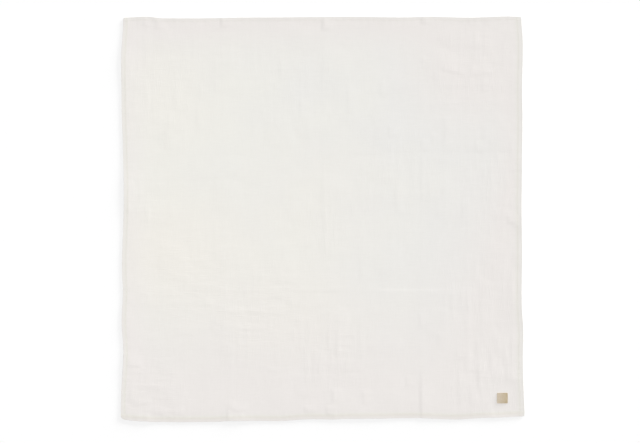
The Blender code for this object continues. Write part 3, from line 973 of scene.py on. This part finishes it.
MUSLIN_CREAM_AND_PAINTED_LIGHT = "#e8e7e1"  # of the cloth's -X side: a warmer tone, and paler as painted light
MUSLIN_GREY_AND_PAINTED_SHADE = "#e5e4e1"  # of its +X side: a greyer tone, and darker as painted shade
MUSLIN_WARM = "#eae7e0"
MUSLIN_ROSE = "#e6e2df"
MUSLIN_HEM = "#e3e1db"
# The near hem: its layers' deeper tone, and darker still as painted shade, like the rest of the near end.
MUSLIN_NEAR_HEM_AND_SHADE = "#dedad4"
# Painted shade in the seam's groove, where the thread pulls the cloth down.
MUSLIN_SEAM_SHADE = "#e0ddd6"
# Painted shade on the rolled-over outer edges of the +X and +Y hems.
MUSLIN_OUTER_EDGE_SHADE = "#dbdad5"
THREAD_COLOUR = "#e4e2dc"
PATCH_PALE = "#d1c5b5"
PATCH_DEEP = "#b2a07c"
PATCH_THREAD_COLOUR = "#cbbda6"


def maths(tree, operation, *values):
    """The result of one sum on these values, each a number or a socket."""
    return add_node(tree, "Math", dict(enumerate(values)), operation=operation).outputs[0]


def ranged(tree, value, low, high, new_low, new_high):
    """A value from low to high, turned into one from new_low to new_high that goes no further than those."""
    inputs = {"Value": value, "From Min": low, "From Max": high, "To Min": new_low, "To Max": new_high}
    return add_node(tree, "MapRange", inputs).outputs["Result"]


def noise(tree, place, scale, detail):
    """Soft noise from 0 to 1, with this many lumps to each unit of place and this much finer noise."""
    inputs = {"Vector": place, "Scale": scale, "Detail": detail}
    return add_node(tree, "TexNoise", inputs).outputs["Fac"]


def blended(tree, share, first, second):
    """The first colour at a share of 0, and the second at 1."""
    inputs = {"Factor": share, 6: first, 7: second}  # the colour sockets of a Mix node
    return add_node(tree, "Mix", inputs, data_type="RGBA").outputs[2]


def shaded(tree, colour, shade):
    """A colour made deeper by a shade under 1, or paler by one over 1."""
    return add_node(tree, "HueSaturation", {"Color": colour, "Value": shade}).outputs["Color"]


def raised(tree, height, distance, invert=False, **normal):
    """The way the surface faces where this height, times the distance, is raised on it."""
    inputs = {"Height": height, "Distance": distance, **normal}
    return add_node(tree, "Bump", inputs, invert=invert).outputs["Normal"]


def muslin_finish():
    """Undyed cotton muslin, woven loosely of soft single yarn and washed: quite matt, a little fuzzy, and
    never one even colour, because thick yarns and doubled layers hold more light back. Painted light and
    shade are in its colour as well: paler towards -X, and darker towards the near end, along its seams'
    grooves and on two hems' outer edges."""
    material, tree, shader = new_finish(
        "cotton_muslin_woven", Roughness=0.92, Specular_IOR_Level=0.15, Sheen_Weight=0.05, Sheen_Roughness=0.6
    )
    cut = add_node(tree, "UVMap", uv_map="cut").outputs["UV"]

    def measure(name):
        """The number that the mesh keeps for each point under this name."""
        return add_node(tree, "Attribute", attribute_name=name).outputs["Fac"]

    def yarns(direction):
        """Bands that run one way, high and low in turn, each as wide as one yarn."""
        inputs = {"Vector": cut, "Scale": WAVE_PERIOD / (2 * YARN_PITCH), "Distortion": 0.0}
        return add_node(tree, "TexWave", inputs, bands_direction=direction).outputs["Fac"]

    def stretched_noise(size_x, size_y, shift):
        """Noise of this size across and along the cloth. Each one's shift tells it from the others."""
        inputs = {"Vector": cut, "Scale": (1 / size_x, 1 / size_y, 1), "Location": (shift, shift, shift)}
        return noise(tree, add_node(tree, "Mapping", inputs).outputs["Vector"], 1.0, NOISE_DETAIL)

    def both_ways(width, length, shift_along, shift_across):
        """Two such noises added up, one that runs along the cloth and one across it."""
        along = stretched_noise(width, length, shift_along)
        return maths(tree, "ADD", along, stretched_noise(length, width, shift_across))

    def puffs(size_x, size_y, shift):
        """Puffs with flat cloth between: where a stretched noise is well off its middle value."""
        off_middle = maths(tree, "SUBTRACT", stretched_noise(size_x, size_y, shift), 0.5)
        return ranged(tree, maths(tree, "ABSOLUTE", off_middle), *PUFF_RANGE, 0.0, 1.0)

    # Over and under: the warp's bands less the weft's are high in every second square of the weave.
    weave = maths(tree, "ABSOLUTE", maths(tree, "SUBTRACT", yarns("X"), yarns("Y")))
    along = puffs(FINE_CRINKLE_WIDTH, FINE_CRINKLE_LENGTH, 3.0)
    across = puffs(FINE_CRINKLE_LENGTH, FINE_CRINKLE_WIDTH, 7.0)
    across = maths(tree, "MULTIPLY", across, measure("crinkled_across"))
    crinkle = maths(tree, "MULTIPLY_ADD", along, measure("crinkled_along"), across)

    place = add_node(tree, "SeparateXYZ", {"Vector": cut}).outputs
    patches = ranged(tree, stretched_noise(TINT_PATCH, TINT_PATCH, 17.0), *TINT_RANGE, *TINT_SHIFT)
    # Painted light: the cloth is paler as well as warmer towards -X, and darker as well as greyer towards +X.
    tint_and_painted_light = maths(tree, "ADD", ranged(tree, place["X"], *TINT_AND_PAINTED_LIGHT_CHANGE, 0.0, 1.0), patches)
    base = blended(tree, tint_and_painted_light, linear(MUSLIN_CREAM_AND_PAINTED_LIGHT), linear(MUSLIN_GREY_AND_PAINTED_SHADE))
    base = blended(tree, measure("warm"), base, linear(MUSLIN_WARM))
    base = blended(tree, measure("rosy"), base, linear(MUSLIN_ROSE))

    slubs = ranged(tree, both_ways(SLUB_WIDTH, SLUB_LENGTH, 11.0, 13.0), *SLUB_RANGE, *SLUB_SHADE)
    clouds = ranged(tree, both_ways(CLOUD_WIDTH, CLOUD_LENGTH, 19.0, 23.0), *CLOUD_RANGE, *CLOUD_SHADE)
    # Painted shade: the cloth darker towards the near end, as if the light fell off there.
    near_end_painted_shade = ranged(tree, place["Y"], *NEAR_END_CHANGE, NEAR_END_PAINTED_SHADE, 1.0)
    shade = maths(tree, "MULTIPLY", maths(tree, "MULTIPLY", slubs, clouds), near_end_painted_shade)
    base = shaded(tree, base, shade)

    # The near hem's colour is its layers' tone and partly painted shade.
    near_hem = ranged(tree, place["Y"], *NEAR_HEM_CHANGE, 1.0, 0.0)
    hem = blended(tree, near_hem, linear(MUSLIN_HEM), linear(MUSLIN_NEAR_HEM_AND_SHADE))
    base = blended(tree, measure("hem"), base, hem)
    # Painted shade along the seam's groove.
    base = blended(tree, measure("seam"), base, linear(MUSLIN_SEAM_SHADE))
    # Painted shade on the hems' rolled outer edges.
    base = blended(tree, measure("outer_edge_shade"), base, linear(MUSLIN_OUTER_EDGE_SHADE))
    tree.links.new(base, shader.inputs["Base Color"])

    crinkled = raised(tree, crinkle, FINE_CRINKLE_HEIGHT)
    woven = raised(tree, weave, YARN_HEIGHT, Normal=crinkled)
    tree.links.new(woven, shader.inputs["Normal"])
    return material


def thread_finish(name, colour):
    """Spun polyester sewing thread: smoother than the cloth, with a faint gloss along its twist."""
    material, tree, shader = new_finish(name, Roughness=0.6)
    place = add_node(tree, "TexCoord").outputs["Object"]
    fibres = noise(tree, place, 1 / FIBRE_SIZE, 1.0)
    shade = ranged(tree, fibres, 0.0, 1.0, *FIBRE_SHADE)
    tree.links.new(shaded(tree, linear(colour), shade), shader.inputs["Base Color"])
    tree.links.new(raised(tree, fibres, FIBRE_HEIGHT), shader.inputs["Normal"])
    return material


def leatherette_finish():
    """Beige leatherette, a coated cloth embossed with a fine pebble grain: matt, with the grain's hollows a
    little deeper in colour than its tops."""
    material, tree, shader = new_finish("leatherette_embossed", Roughness=0.62)
    place = add_node(tree, "TexCoord").outputs["Object"]
    inputs = {"Vector": place, "Scale": 1 / PATCH_GRAIN, "Smoothness": 0.6}
    pebbles = add_node(tree, "TexVoronoi", inputs, feature="SMOOTH_F1").outputs["Distance"]
    cloudy = noise(tree, place, 1 / PATCH_CLOUD, 3.0)
    along = add_node(tree, "SeparateXYZ", {"Vector": place}).outputs["X"]
    deeper = ranged(tree, along, patch_low.x, patch_high.x, 0.0, PATCH_DEEPER)
    depth = maths(tree, "MULTIPLY_ADD", pebbles, cloudy, deeper)
    base = blended(tree, depth, linear(PATCH_PALE), linear(PATCH_DEEP))
    tree.links.new(base, shader.inputs["Base Color"])
    grain = raised(tree, pebbles, PATCH_GRAIN_DEPTH, invert=True)
    tree.links.new(grain, shader.inputs["Normal"])
    return material


# ---- The studio ----

PIXEL = 2.874 * MM  # on the surface, in a picture 640 wide
PICTURE_WIDTH = 640
VIEW_OFF_RIGHT = -2.75  # from the cloth's middle to the picture's, in pixels
VIEW_OFF_UP = -2.26
LENS = 110.0  # in millimetres, on a sensor 36 wide
SENSOR = 36.0
CAMERA_REACH = 100.0  # it sees no further than this
FLOOR_SIZE = 60.0
FLOOR_COLOUR = "#f9f9f9"
SKY_STRENGTH = 0.50
TOP_STRENGTH = 1.427
TOP_SPREAD = 60.0
KEY_STRENGTH = 2.94
KEY_ELEVATION = 6.5
KEY_AZIMUTH = 45.0  # from +X towards +Y
KEY_SPREAD = 12.0


def make_floor():
    """A plain pale floor that the cloth lies on."""
    material, _, shader = new_finish("floor_paper_matt", Roughness=0.9)
    shader.inputs["Base Color"].default_value = linear(FLOOR_COLOUR)
    half = FLOOR_SIZE / 2
    points = np.array([[-half, -half, 0], [half, -half, 0], [half, half, 0], [-half, half, 0]])
    floor = make_mesh("floor", points, [(0, 1, 2, 3)], material)


def add_sun(name, strength, elevation, azimuth, spread):
    """A light from far away. Its height over the floor, the way it comes from, counted from +X towards +Y,
    and its width are in degrees."""
    light = bpy.data.lights.new(name, "SUN")
    light.energy = strength
    light.angle = math.radians(spread)
    lamp = bpy.data.objects.new(name, light)
    lamp.rotation_euler = (math.radians(90 - elevation), 0, math.radians(90 + azimuth))
    bpy.context.scene.collection.objects.link(lamp)


def make_lights():
    """An even sky, a broad softbox overhead, and a low soft key from the upper right that draws the shadow
    along the -X and -Y edges and shades the folds and crinkle."""
    world = bpy.data.worlds.new("studio_sky")
    world.use_nodes = True
    sky = world.node_tree.nodes["Background"].inputs
    sky["Color"].default_value = (1, 1, 1, 1)
    sky["Strength"].default_value = SKY_STRENGTH
    bpy.context.scene.world = world
    add_sun("top_softbox", TOP_STRENGTH, elevation=90, azimuth=0, spread=TOP_SPREAD)
    add_sun("key_window", KEY_STRENGTH, KEY_ELEVATION, KEY_AZIMUTH, KEY_SPREAD)


def make_camera():
    """A long lens straight above the cloth, far enough to frame the picture's width at the surface."""
    camera = bpy.data.cameras.new("overhead")
    camera.lens = LENS
    camera.sensor_width = SENSOR
    camera.clip_end = CAMERA_REACH
    seen = bpy.data.objects.new("overhead", camera)
    distance = LENS / SENSOR * PICTURE_WIDTH * PIXEL
    seen.location = (VIEW_OFF_RIGHT * PIXEL, VIEW_OFF_UP * PIXEL, distance + CLOTH_THICKNESS)
    bpy.context.scene.collection.objects.link(seen)
    bpy.context.scene.camera = seen


# ---- Making the picture ----

make_camera()
make_lights()
make_floor()
bpy.context.scene.view_settings.view_transform = "Standard"

cloth = make_cloth(muslin_finish())
hem_stitches = make_hem_stitches(thread_finish("hem_thread_spun", THREAD_COLOUR))
patch = make_patch(leatherette_finish())
patch_stitches = make_patch_stitches(thread_finish("patch_thread_spun", PATCH_THREAD_COLOUR))

for piece, slot in ((cloth, "muslin"), (hem_stitches, "muslin"), (patch, "label"), (patch_stitches, "label")):
    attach(piece, "root")
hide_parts("muslin_cloth")
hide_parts("label_patch")
